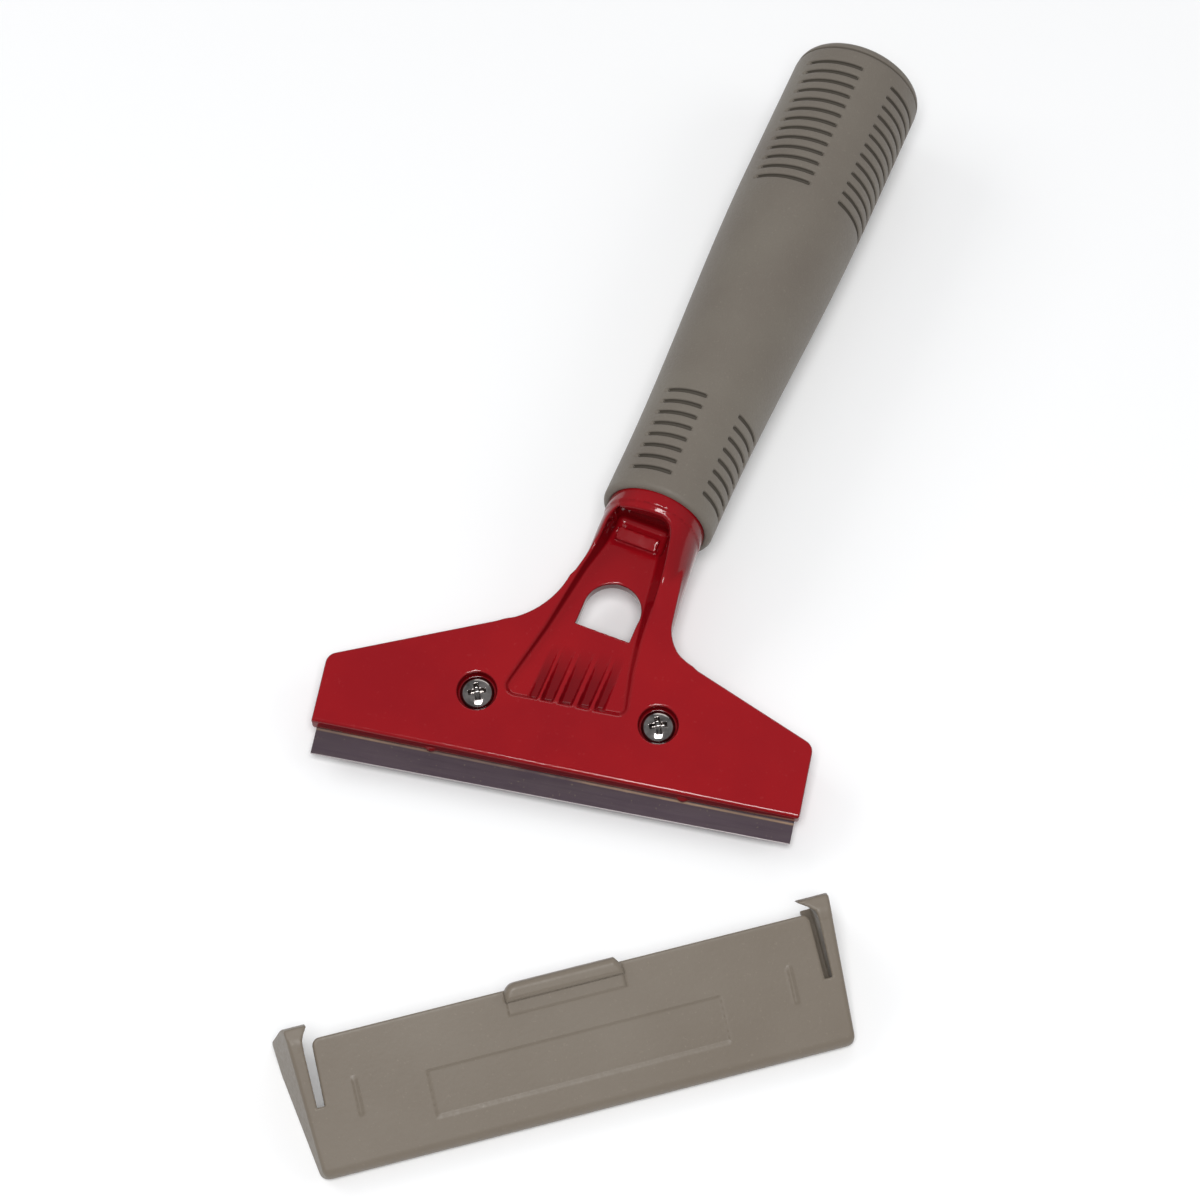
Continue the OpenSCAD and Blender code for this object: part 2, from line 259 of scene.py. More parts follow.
def solid(name, shape, low, high, step, to_world):
    """A piece from a signed distance function, sampled every step between low and high.

    Surface nets give the mesh, and then each point is moved onto the true surface.
    """
    axes = [np.arange(lo - 2 * step, hi + 2.5 * step, step) for lo, hi in zip(low, high)]
    x, y, z = axes[0][:, None, None], axes[1][None, :, None], axes[2][None, None, :]
    field = np.broadcast_to(shape(x, y, z), [len(a) for a in axes]).astype(float)
    points, quads = surface_nets(shape, field, np.array([a[0] for a in axes]), step)
    for _ in range(3):
        g = gradient(shape, points, step * 0.1)
        d = shape(*points.T)
        move = -d[:, None] * g / np.maximum((g * g).sum(1), 0.25)[:, None]
        points += np.clip(move, -step * 0.3, step * 0.3)
    normals = gradient(shape, points, step * 0.25)
    return mesh_piece(name, points, quads, to_world, normals)


def mesh_piece(name, points, faces, to_world, normals=None):
    """An object from points in millimetres; to_world turns them into metres."""
    m = np.array(to_world)
    world = np.asarray(points) @ m[:3, :3].T + m[:3, 3]
    mesh = bpy.data.meshes.new(name)
    mesh.from_pydata(world.tolist(), [], [list(map(int, f)) for f in faces])
    mesh.validate()
    mesh.shade_smooth()
    if normals is not None:
        n = np.asarray(normals) @ m[:3, :3].T
        n /= np.maximum(np.linalg.norm(n, axis=1), 1e-12)[:, None]
        mesh.normals_split_custom_set_from_vertices(n.tolist())
    piece = bpy.data.objects.new(name, mesh)
    bpy.context.scene.collection.objects.link(piece)
    return piece


def finish_piece(piece, body, slot, nodes, *materials):
    """Give a piece its materials and its body, and hide the CAD nodes that it replaces; slot is not used."""
    for m in materials:
        piece.data.materials.append(m)
    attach(piece, body)
    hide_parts(*nodes)


# --- materials ------------------------------------------------------------------------------------
class Nodes:
    """A material under construction: short calls for the nodes that the finishes share."""

    def __init__(self, name, **values):
        self.material = bpy.data.materials.new(name)
        self.material.use_nodes = True
        self.tree = self.material.node_tree
        self.shader = self.tree.nodes["Principled BSDF"]
        for key, value in values.items():
            self.shader.inputs[key.replace("_", " ")].default_value = value
        here = self.add("ShaderNodeTexCoord").outputs
        self.place, self.normal = here["Object"], here["Normal"]

    def add(self, kind, **inputs):
        node = self.tree.nodes.new(kind)
        for key, value in inputs.items():
            self.plug(node.inputs[key.replace("_", " ")], value)
        return node

    def plug(self, socket, value):
        if hasattr(value, "links"):
            self.tree.links.new(value, socket)
        else:
            socket.default_value = value

    def noise(self, scale, detail=3.0, rough=0.5, place=None):
        return self.add(
            "ShaderNodeTexNoise", Vector=place or self.place, Scale=scale, Detail=detail, Roughness=rough
        ).outputs["Fac"]

    def stretched(self, scale):
        node = self.add("ShaderNodeMapping", Vector=self.place)
        node.inputs["Scale"].default_value = scale
        return node.outputs["Vector"]

    def ramp(self, value, low, high, start=0.0, end=1.0):
        node = self.add("ShaderNodeMapRange", Value=value)
        for key, number in (("From Min", low), ("From Max", high), ("To Min", start), ("To Max", end)):
            node.inputs[key].default_value = number
        return node.outputs["Result"]

    def mix(self, factor, a, b):
        node = self.tree.nodes.new("ShaderNodeMix")
        node.data_type = "RGBA"
        self.plug(node.inputs["Factor"], factor)
        self.plug(node.inputs[6], a)
        self.plug(node.inputs[7], b)
        return node.outputs[2]

    def calculate(self, what, a, b=0.0):
        node = self.tree.nodes.new("ShaderNodeMath")
        node.operation = what
        self.plug(node.inputs[0], a)
        self.plug(node.inputs[1], b)
        return node.outputs["Value"]

    def dot(self, vector, direction):
        node = self.tree.nodes.new("ShaderNodeVectorMath")
        node.operation = "DOT_PRODUCT"
        self.plug(node.inputs[0], vector)
        node.inputs[1].default_value = direction
        return node.outputs["Value"]

    def bump(self, height, strength, distance, under=None):
        node = self.add("ShaderNodeBump", Height=height, Strength=strength, Distance=distance)
        if under is not None:
            self.plug(node.inputs["Normal"], under)
        return node.outputs["Normal"]

    def to(self, name, value):
        self.plug(self.shader.inputs[name], value)


def red_enamel():
    m = Nodes("red_enamel", Roughness=0.2, IOR=1.42)
    cloud = m.noise(60, 3)
    speck = m.ramp(m.noise(900, 2, 0.6), 0.66, 0.74)
    colour = m.mix(m.ramp(cloud, 0.35, 0.65), (0.262, 0.0030, 0.0072, 1), (0.298, 0.0042, 0.0078, 1))
    colour = m.mix(m.calculate("MULTIPLY", speck, 0.25), colour, (0.36, 0.03, 0.032, 1))
    # darker on steep walls and between the ribs, in place of dark surroundings, which the studio doesn't have
    facing = m.dot(m.normal, HEAD_Z)
    steep = m.ramp(m.calculate("ABSOLUTE", facing), 0.35, 0.92, 0.85, 0.0)
    below_top = m.dot(m.place, HEAD_Z + 0.05 * HEAD_Y)
    gap_floor = head_origin.dot(HEAD_Z + 0.05 * HEAD_Y) + 0.05 * PANEL_FOOT * MM - 1.2 * MM
    gap = m.ramp(below_top, gap_floor - 0.45 * MM, gap_floor - 0.08 * MM, 0.75, 0.0)
    gap = m.calculate("MULTIPLY", gap, m.ramp(facing, 0.0, 0.3))
    colour = m.mix(m.calculate("MAXIMUM", steep, gap), colour, (0.135, 0.0016, 0.0040, 1))
    m.to("Base Color", colour)
    m.to("Roughness", m.ramp(m.noise(140, 3), 0.3, 0.7, 0.08, 0.15))
    ripple = m.bump(m.noise(260, 2, 0.4), 0.10, 0.0006)
    m.to("Normal", m.bump(m.noise(45, 1, 0.3), 0.12, 0.002, ripple))
    return m.material


def blade_steel():
    m = Nodes("blade_steel", Metallic=0.55, Roughness=0.5)
    grain = m.noise(900, 4, 0.6, m.stretched((0.06, 1.0, 1.0)))
    patch = m.noise(55, 4, 0.6)
    colour = m.mix(m.ramp(patch, 0.3, 0.7), (0.060, 0.040, 0.053, 1), (0.078, 0.054, 0.067, 1))
    colour = m.mix(m.calculate("MULTIPLY", m.ramp(grain, 0.45, 0.75), 0.35), colour, (0.100, 0.078, 0.080, 1))
    speck = m.ramp(m.noise(1400, 1), 0.70, 0.76)
    colour = m.mix(m.calculate("MULTIPLY", speck, 0.45), colour, (0.16, 0.13, 0.095, 1))
    # patchy brown line on the blade along the lip's front edge
    to_lip = HEAD_Y + LIP_SKEW * HEAD_X
    lip_at = head_origin.dot(to_lip) + (LIP_Y + 0.05) * MM
    away = m.calculate("ABSOLUTE", m.calculate("SUBTRACT", m.dot(m.place, to_lip), lip_at))
    near = m.ramp(away, 0.12 * MM, 0.32 * MM, 1.0, 0.0)
    line = m.calculate("MULTIPLY", near, m.ramp(patch, 0.35, 0.6, 0.1, 0.9))
    m.to("Base Color", m.mix(line, colour, (0.30, 0.20, 0.13, 1)))
    m.to("Roughness", m.ramp(grain, 0.3, 0.7, 0.42, 0.56))
    m.to("Normal", m.bump(grain, 0.15, 0.0002))
    return m.material


def ground_steel():
    m = Nodes("ground_steel", Metallic=0.7, Roughness=0.42)
    grain = m.noise(2600, 3, 0.6, m.stretched((1.0, 0.12, 0.12)))
    m.to("Base Color", m.mix(m.ramp(grain, 0.3, 0.7), (0.20, 0.18, 0.18, 1), (0.30, 0.27, 0.27, 1)))
    m.to("Roughness", m.ramp(grain, 0.3, 0.7, 0.38, 0.52))
    m.to("Normal", m.bump(grain, 0.2, 0.0001))
    return m.material


def plated_steel(name, tint, rough, worn):
    m = Nodes(name, Metallic=1.0, Roughness=rough)
    cloud = m.ramp(m.noise(420, 3), 0.35, 0.7)
    dark = tuple(c * worn for c in tint) + (1,)
    m.to("Base Color", m.mix(cloud, tuple(tint) + (1,), dark))
    m.to("Roughness", m.ramp(m.noise(900, 2), 0.3, 0.7, rough * 0.8, rough * 1.6))
    m.to("Normal", m.bump(m.noise(1500, 2), 0.05, 0.0001))
    return m.material


def moulded(name, low, high, rough, grain, depth, sheen=0.0):
    """Matte moulded plastic or soft grip: faint clouds of colour over a fine grain."""
    m = Nodes(name, Roughness=rough, Specular_IOR_Level=0.35)
    m.shader.inputs["Sheen Weight"].default_value = sheen
    cloud = m.noise(38, 4, 0.55)
    fine = m.noise(grain, 3, 0.6)
    colour = m.mix(m.ramp(cloud, 0.3, 0.7), low + (1,), high + (1,))
    dust = m.ramp(m.noise(1500, 2), 0.64, 0.76)
    pale = tuple(min(1, c * 1.35) for c in high) + (1,)
    m.to("Base Color", m.mix(m.calculate("MULTIPLY", dust, 0.35), colour, pale))
    m.to("Roughness", m.ramp(fine, 0.3, 0.7, rough - 0.06, rough + 0.06))
    m.to("Normal", m.bump(fine, depth, 0.0003))
    return m.material


RED = red_enamel()
BLADE = blade_steel()
GROUND = ground_steel()
CHROME = plated_steel("chrome_plate", (0.47, 0.43, 0.41), 0.09, 0.3)
ZINC = plated_steel("zinc_plate", (0.52, 0.52, 0.54), 0.28, 0.7)
GRIP = moulded("soft_grip", (0.150, 0.128, 0.106), (0.176, 0.156, 0.128), 0.56, 1700, 0.35, 0.05)
# painted shade: a darker colour for the faces deep in the grip's grooves
GROOVE = moulded("grip_groove_painted_shade", (0.062, 0.053, 0.042), (0.080, 0.069, 0.055), 0.7, 1700, 0.3)
GUARD = moulded("guard_plastic", (0.172, 0.142, 0.110), (0.194, 0.164, 0.130), 0.45, 1100, 0.12)
CORE = moulded("core_plastic", (0.030, 0.030, 0.032), (0.042, 0.042, 0.045), 0.45, 900, 0.1)


# --- the cast head --------------------------------------------------------------------------------
def shoulder(x):
    """Height of the jaws' sloping shoulder at a place across them."""
    return CORNER_Y + SHOULDER_SLOPE * (JAW_HALF - abs(x))


def hollow(corner, a, b, r, n):
    """Points of a concave corner between the directions a and b, rounded with radius r."""
    half = math.radians(b - a) / 2
    mid = math.radians(a) + half
    ox = corner[0] + r / math.sin(half) * math.cos(mid)
    oy = corner[1] + r / math.sin(half) * math.sin(mid)
    return arc(ox, oy, r, a + 270, b + 90, n)


def jaw_outline(inset=0.0, lip=LIP_Y):
    """Outline of the jaws, from the line y = lip up to the shoulders, moved in by inset."""
    w = JAW_HALF - inset
    lean = math.degrees(math.atan(SHOULDER_SLOPE))
    top = CORNER_Y - inset - 2.6 * math.tan(math.radians((90 - lean) / 2)) + 0.35
    low = lip + inset
    return (
        arc(w - 0.8, low + 0.8, 0.8, -90, 0)
        + arc(w - 2.6, top, 2.6, 0, 90 - lean)
        + [(17, shoulder(17) - inset), (-17, shoulder(17) - inset)]
        + arc(2.6 - w, top, 2.6, 90 + lean, 180)
        + [(-w, low + 1.3), (0.7 - w, low)]
    )


def neck_outline():
    """Outline of the web that spreads from the neck to the jaws."""
    lean = math.degrees(math.atan(SHOULDER_SLOPE))
    return (
        [(-30, 24), (30, 24)]
        + hollow((17.2, shoulder(17.2)), -lean, 85, 10, 10)
        + [(17.9, 50), (17.4, 55.8), (-0.7, 59.2), (-4.6, 50)]
        + hollow((-8.0, shoulder(8.0)), 74, 180 + lean, 19, 12)
    )


JAW = jaw_outline()
WEB = neck_outline()
PANEL = (
    arc(8.2, -42.9, 1.5, -80, 8)
    + [(7.9, -35), (6.8, -28), (5.7, -19), (4.9, -10), (4.4, -6.6)]
    + arc(1.9, -6.5, 2.4, 0, 90)
    + arc(-6.2, -6.5, 2.4, 90, 172)
    + [(-8.9, -9), (-10.4, -16), (-12.6, -31.9), (-15.3, -45.5)]
    + arc(-13.4, -46.3, 2.0, 188, 280)
)


def neck_uv(x, y):
    """Across and along the neck, from the collar."""
    dx, dy = x - COLLAR[0], y - COLLAR[1]
    c, s = math.cos(NECK_TURN), math.sin(NECK_TURN)
    return dx * c - dy * s, dx * s + dy * c


def handle_coordinates(x, y, z):
    """A place in the head frame, given in the handle frame."""
    m = np.array(HANDLE_IN_HEAD.inverted())
    return [m[k, 0] * x + m[k, 1] * y + m[k, 2] * z + m[k, 3] for k in range(3)]


def neck_shell(u, v, x, y, z):
    """Round at the collar, squarer and wider towards the head; its top falls behind the arch's edge."""
    s = np.clip(-v / 32.0, 0, 1)
    half_w = NECK_R + (13.1 - NECK_R) * s**1.6
    rail = -1.7 + 0.19 * (v + 32)
    top = rail + (COLLAR_Z + NECK_R - rail) * (1 - smooth((-v - 2.0) / 13.0))
    bottom = (COLLAR_Z - NECK_R) * (1 - s) - 12.4 * s
    middle, half_h = (top + bottom) / 2, (top - bottom) / 2
    corner = NECK_R + (2.2 - NECK_R) * smooth(s * 1.15)
    corner = np.minimum(corner, np.minimum(half_w, half_h))
    dx = np.abs(u + 0.6 * s) - (half_w - corner)
    dz = np.abs(z - middle) - (half_h - corner)
    section = np.hypot(np.maximum(dx, 0), np.maximum(dz, 0)) + np.minimum(np.maximum(dx, dz), 0) - corner
    hx, ht, hz = handle_coordinates(x, y, z)
    section = common(common(section, ht), -v - 34.0)
    tube = common(np.hypot(hx, hz) - NECK_R, np.abs(ht + 1.0) - 2.4)
    return union(section, tube, 0.8)


def lip_line(x):
    """Front edge of the lip: the blade stands out a little further at its left end."""
    return LIP_Y + 0.3 - LIP_SKEW * x


def panel_floor(u, y):
    """Height of the sunk panel's floor: it falls a little towards the collar.

    Four ribs rise at its foot, with broad gaps between them.
    """
    along = y - PANEL_FOOT
    floor = -1.2 - 0.05 * along
    rise = np.clip(1.0 - 0.075 * along, 0, 1.0)
    ribs = sum(
        smooth((half + 0.8 - np.abs(u - at)) / 0.8)
        for at, half in ((-7.9, 0.1), (-4.4, 0.3), (-0.45, 0.3), (3.1, 0.2))
    )
    gaps = smooth(8.3 - np.abs(u + 2.35)) * np.clip(0.75 - 0.05 * along, 0, 0.75)
    return floor - gaps + (rise + gaps) * ribs


def head_shape(x, y, z):
    u, v = neck_uv(x, y)
    plan = union(outline(x, y, JAW), outline(x, y, WEB), 1.0)
    d = common(plan, np.abs(z + JAW_T / 2) - JAW_T / 2, 0.35)
    lip = lip_line(x)
    front = ((z + JAW_T) * 0.4 - (y - lip) * JAW_T) / math.hypot(0.4, JAW_T)
    d = common(d, common(front, z, 0.8))
    # stop behind the blade's back edge, and the wall that the tool rests on
    behind = common(outline(x, y, JAW) + 0.05, 17.0 - y)
    d = union(d, common(behind, np.abs(z + JAW_T + 0.3) - 0.7))
    height = HEAD_MM[2][3] / MM + HEAD_Y.z * y + HEAD_Z.z * z
    wall = common(np.abs(x) - 15, np.abs(y - REBATE_Y - 1.6) - 1.6, 0.6)
    wall = common(common(wall, z + 1.0), -height, 0.5)
    d = union(d, wall, 0.8)
    d = union(d, neck_shell(u, v, x, y, z), 1.2)
    # sunk panel between the rims, steeper on its left, and the hollow that it enters under the arch
    lean = 0.3 + 0.4 * smooth((u + 8) / 12)
    sides = (outline(u, v, PANEL) - lean * np.clip(z + 0.8, -3, 1.2)) * 0.9
    floor = panel_floor(u, y)
    d = cut(d, common(sides, (floor - z) * 0.85, 0.5), 0.7)
    hollow_end = common(np.abs(u + 2.1) - 5.8, np.abs(v + 4.9) - 3.2, 1.5)
    d = cut(d, common(hollow_end, np.abs(z - 1.3) - 4.8, 1.5), 0.7)
    # ramp in front of the hollow
    ramp = common(np.abs(u + 2.4) - 4.6, np.abs(v + 5.8) - 1.4, 0.2)
    ramp = common(ramp, (z - floor - 0.35 - (v + 7.2) * 0.3) * 0.98, 0.25)
    d = union(d, common(ramp, -z - 6), 0.15)
    # the back of the neck is cored out to a thin web
    back = outline(u + 1.2, v, [(-10.4, -28.6), (10.0, -28.6), (8.0, -11.5), (-6.9, -11.5)])
    d = cut(d, common(common(back, z - floor + 3.0, 1.2), -z - 24), 0.5)
    window = union(np.hypot(u + 1.35, v + 22.8) - 6.15, common(np.abs(u + 1.4) - 6.1, np.abs(v + 25.5) - 2.8))
    window = common(window, -28.3 - v)
    d = cut(d, common(window, np.abs(z + 5) - 12), 0.2)
    # two nubs under the lip
    for nx in (-26.3, 27.2):
        nub = common(np.hypot(x - nx, y - lip - 1.15) - 1.6, np.abs(z + 2.35) - 0.75, 0.35)
        d = union(d, nub, 0.25)
    # screw recesses
    for side in (-1, 1):
        r = np.hypot(x - side * SCREW_HALF_GAP, y - SCREW_Y)
        d = cut(d, common(r - RECESS_R, RECESS_FLOOR - z, 0.35), 0.35)
        d = cut(d, common(r - 2.1, np.abs(z + 5) - 6))
    return d


def make_head():
    low = (-JAW_HALF - 0.5, 3.6, -14.0)
    high = (JAW_HALF + 0.5, 68.5, 10.5)
    return solid("cast_head", head_shape, low, high, GRID, HEAD_MM)


finish_piece(make_head(), "frame", "red_paint", ["head_casting"], RED)


# --- clamp plate, nuts, screws and blade ----------------------------------------------------------
def clamp_shape(x, y, z):
    back = CLAMP_Z - CLAMP_T
    plan = common(outline(x, y, jaw_outline(0.4, CLAMP_LIP_Y)), y - (REBATE_Y - 0.4), 0.5)
    d = common(plan, np.abs(z - (CLAMP_Z + back) / 2) - CLAMP_T / 2, 0.5)
    # ground-off front, and two shallow pads left proud of the back
    bevel = np.array((-(CLAMP_T - 0.4), -11.7))
    bevel /= np.linalg.norm(bevel)
    d = common(d, (y - (CLAMP_LIP_Y - 1)) * bevel[0] + (z - (back + CLAMP_T - 1.4)) * bevel[1], 0.5)
    sunk = box(x, y, z, (-13.5, 19.6, back - 2), (13.5, 27.0, back + 0.8), 0.6)
    d = cut(d, sunk, 0.3)
    for side in (-1, 1):
        end = box(x, y, z, (side * 35 - 8.5, 18.8, back - 2), (side * 35 + 8.5, 24.0, back + 0.8), 0.6)
        d = cut(d, end, 0.3)
        sx = x - side * SCREW_HALF_GAP
        sy = y - SCREW_Y
        d = cut(d, common(hexagon(sx, sy, NUT_R + 0.15), z - (back + 1.6)), 0.25)
        d = cut(d, np.hypot(sx, sy) - 2.15)
    return d


def make_clamp():
    low = (-JAW_HALF, 3.0, CLAMP_Z - CLAMP_T - 0.3)
    high = (JAW_HALF, REBATE_Y, CLAMP_Z + 0.3)
    return solid("clamp_back_plate", clamp_shape, low, high, GRID, HEAD_MM)


finish_piece(make_clamp(), "clamp", "red_paint", ["clamp_plate"], RED)


def nut_shape(x, y, z):
    r = np.hypot(x, y)
    d = common(hexagon(x, y, NUT_R), np.abs(z - NUT_H / 2) - NUT_H / 2, 0.1)
    for face in (z - NUT_H, -z):
        d = common(d, (r - NUT_R * 0.9) * 0.5 + face * 0.866)
    return cut(d, r - 2.05, 0.2)


def screw_shape(x, y, z):
    """Pan head with a cross recess, above a threaded shank; z = 0 is under the head."""
    r = np.hypot(x, y)
    head_r, head_h, rim = 3.6, 1.9, 0.7
    dome = (np.sqrt((r / head_r) ** 2 + (np.maximum(z - rim, 0) / (head_h - rim)) ** 2) - 1) * 1.15
    head = common(np.maximum(dome, r - head_r), -z, 0.12)
    for k in range(2):
        a = math.radians(20 + 90 * k)
        across = np.abs(x * math.cos(a) + y * math.sin(a))
        other = np.abs(-x * math.sin(a) + y * math.cos(a))
        slot = np.maximum(across + 0.45 * (head_h - z) - 2.0, other + 0.14 * (head_h - z) - 0.56)
        head = cut(head, np.maximum(slot, 0.55 - z), 0.08)
    turn = np.arctan2(y, x) / (2 * math.pi)
    phase = np.abs((z / THREAD_PITCH + turn) % 1.0 - 0.5) * 2
    depth = 0.28 * smooth(phase) * (z < -0.9)
    shank = common(r - (1.96 - depth), np.abs(z + 4.1) - 4.3)
    shank = common(shank, (r - 1.5) * 0.7 - (z + 8.4) * 0.7)
    return union(head, shank, 0.1)


def make_fastener(side, name):
    x = side * SCREW_HALF_GAP
    at_screw = HEAD_MM @ Matrix.Translation((x, SCREW_Y, RECESS_FLOOR))
    screw = solid(f"cross_screw_{name}", screw_shape, (-3.5, -3.5, -8.6), (3.5, 3.5, 2.2), 0.13, at_screw)
    finish_piece(screw, f"screw_{name}", "bright_steel", [f"clamp_screw_{name}"], CHROME)
    at_nut = HEAD_MM @ Matrix.Translation((x, SCREW_Y, CLAMP_Z - CLAMP_T + 1.6 - NUT_H))
    nut = solid(f"hex_nut_{name}", nut_shape, (-4.1, -4.1, -0.1), (4.1, 4.1, NUT_H + 0.1), 0.2, at_nut)
    finish_piece(nut, "clamp", "nut_steel", [f"clamp_nut_{name}"], ZINC)


make_fastener(-1, "left")
make_fastener(1, "right")


def make_blade():
    """Flat bar with a ground bevel behind, a fine honed edge in front and slightly eased corners."""
    hone, ease, edge = 0.14, 0.06, 0.2
    section = [
        (0.0, -0.05), (hone, 0.0), (BLADE_H - ease, 0.0), (BLADE_H, -ease),
        (BLADE_H, ease - BLADE_T), (BLADE_H - ease, -BLADE_T), (1.6, -BLADE_T), (0.0, -edge),
    ]
    ground_sides = (0, 6, 7)
    n = len(section)
    points, faces, kinds = [], [], []
    stations = np.linspace(-BLADE_HALF, BLADE_HALF, 25)
    for x in stations:
        points += [(x, y, BLADE_Z + z) for y, z in section]
    for i in range(len(stations) - 1):
        for k in range(n):
            a, b = i * n + k, i * n + (k + 1) % n
            faces.append((a, a + n, b + n, b)[::-1])
            kinds.append(1 if k in ground_sides else 0)
    faces += [tuple(range(n))[::-1], tuple(range(len(points) - n, len(points)))]
    kinds += [0, 0]
    piece = mesh_piece("scraper_blade", points, faces, HEAD_MM)
    piece.data.shade_flat()
    finish_piece(piece, "blade", "blade_steel", ["blade"], BLADE, GROUND)
    piece.data.polygons.foreach_set("material_index", kinds)


make_blade()


# --- grip -----------------------------------------------------------------------------------------
GROOVE_HALF, GROOVE_DEPTH = 0.55, 0.8
INNER_R = 11.0
GROOVE_ROWS = [math.radians(a) for a in (-19.5, 64.5, 160.5, 244.5)]
GROOVE_BLOCKS = [(4.1, 2.97, 8, math.radians(47)), (84.6, 2.86, 13, math.radians(55))]


def grip_radius(t):
    """Radius of the grip, which swells towards its end."""
    return GRIP_R0 + (GRIP_R1 - GRIP_R0) * float(smooth((t - SWELL[0]) / (SWELL[1] - SWELL[0])))


def groove_depth(t, angle, radius):
    """Depth of the finger grooves at a place on the grip; angle is measured from its top to the right."""
    depth = np.zeros_like(angle)
    for t0, pitch, count, width in GROOVE_BLOCKS:
        nearest = t0 + pitch * min(max(round((t - t0) / pitch), 0), count - 1)
        if abs(t - nearest) > 1.0:
            continue
        for row in GROOVE_ROWS:
            away = np.abs((angle - row + math.pi) % (2 * math.pi) - math.pi) * radius
            past = np.maximum(away - (width * radius / 2 - GROOVE_HALF), 0)
            d = np.hypot(past, t - nearest)
            wall = 1 - smooth((d - GROOVE_HALF + 0.16) / 0.26)
            depth = np.maximum(depth, GROOVE_DEPTH * wall)
    return depth


def lathe(name, profile, to_world, segments=256, depth=None):
    """Closed turned piece: profile is a closed loop of (radius, distance along the handle).

    depth lowers the surface outside INNER_R. A face whose corners all lie deep in a groove gets
    the piece's second material.
    """
    angles = np.arange(segments) * 2 * math.pi / segments
    points, sunk = [], []
    for r, t in profile:
        drop = depth(t, angles, r) if depth is not None and r > INNER_R else np.zeros(segments)
        radius = r - drop
        points.append(np.stack([radius * np.sin(angles), np.full(segments, t), radius * np.cos(angles)], 1))
        sunk.append(drop > GROOVE_DEPTH * 0.3)
    sunk = np.concatenate(sunk)
    faces = []
    for i in range(len(profile)):
        a, b = i * segments, (i + 1) % len(profile) * segments
        for k in range(segments):
            m = (k + 1) % segments
            faces.append((a + k, a + m, b + m, b + k))
    piece = mesh_piece(name, np.concatenate(points), faces, to_world)
    return piece, sunk[np.array(faces)].all(1).astype(int)


def groove_stations():
    """Distances along the grip: close together at each groove's walls, wide apart elsewhere."""
    stops = []
    for t0, pitch, count, _ in GROOVE_BLOCKS:
        for i in range(count):
            stops += [t0 + i * pitch + s * o for s in (-1, 1) for o in (0.15, 0.38, 0.46, 0.54, 0.62, 0.70)]
            stops += [t0 + (i + 0.5) * pitch]
    stops += list(np.arange(30.0, 82.5, 2.5)) + [2.2, 123.0 - 0.6]
    return sorted(stops)


def make_sleeve():
    round_r = 1.15
    collar_round = arc(GRIP_R0 - round_r, SLEEVE_MOUTH + round_r, round_r, -90, 0)
    outer = [(grip_radius(t), t) for t in groove_stations()]
    end = [(GRIP_R1, CAP_T - 0.4), (GRIP_R1 - 0.14, CAP_T - 0.12), (GRIP_R1 - 0.8, CAP_T)]
    inner = [(11.9, CAP_T), (11.9, CAP_T - 4.0), (10.3, CAP_T - 4.1), (10.3, 80), (8.9, 12), (7.7, 4.6)]
    mouth = [
        (NECK_R + 0.04, 4.5),
        (NECK_R + 0.04, SLEEVE_MOUTH + 0.8),
        (NECK_R + 0.2, SLEEVE_MOUTH + 0.2),
        (NECK_R + 0.45, SLEEVE_MOUTH),
    ]
    profile = collar_round + outer + end + inner + mouth
    piece, kinds = lathe("soft_grip_sleeve", profile, HANDLE_MM, 256, groove_depth)
    finish_piece(piece, "frame", "grip_rubber", ["grip_sleeve"], GRIP, GROOVE)
    # faces deep in the grooves take the painted shade colour
    piece.data.polygons.foreach_set("material_index", kinds)


def make_cap():
    r, edge_r, axis_r = GRIP_R1 - 0.1, 2.4, 0.02
    seam = [(11.8, CAP_T - 3.8), (11.8, CAP_T + 0.02), (r - 0.7, CAP_T + 0.05), (r - 0.14, CAP_T + 0.4)]
    edge = arc(r - edge_r, GRIP_L - edge_r, edge_r, 0, 90, 10)
    dish = [(9.0, GRIP_L), (8.2, GRIP_L - 0.12), (7.6, GRIP_L - 0.4), (0.3, GRIP_L - 0.42)]
    middle = [(axis_r, GRIP_L - 0.42), (axis_r, CAP_T - 3.8)]
    piece, _ = lathe("grip_butt_cap", seam + edge + dish + middle, HANDLE_MM, 192)
    finish_piece(piece, "frame", "grip_rubber", ["butt_cap"], GRIP)


make_sleeve()
make_cap()


# --- blade guard ----------------------------------------------------------------------------------
def wedge(y, z, grow):
    """Section of the guard: two flat panels from a rounded closed edge, moved out by grow."""
    py, pz = y - TIP_Y, z - TIP_Z
    cf, sf = math.cos(GUARD_SLOPE), math.sin(GUARD_SLOPE)
    cr, sr = math.cos(GUARD_RAKE), math.sin(GUARD_RAKE)
    front, front_along = -py * sf + pz * cf, py * cf + pz * sf
    rear, rear_along = -py * sr - pz * cr, py * cr - pz * sr
    apart = np.hypot(py, pz)
    outer = np.where((front > rear) & (front_along > 0), front, np.where(rear_along > 0, rear, apart))
    d = np.where((front <= 0) & (rear <= 0), np.maximum(front, rear), outer)
    return d - grow


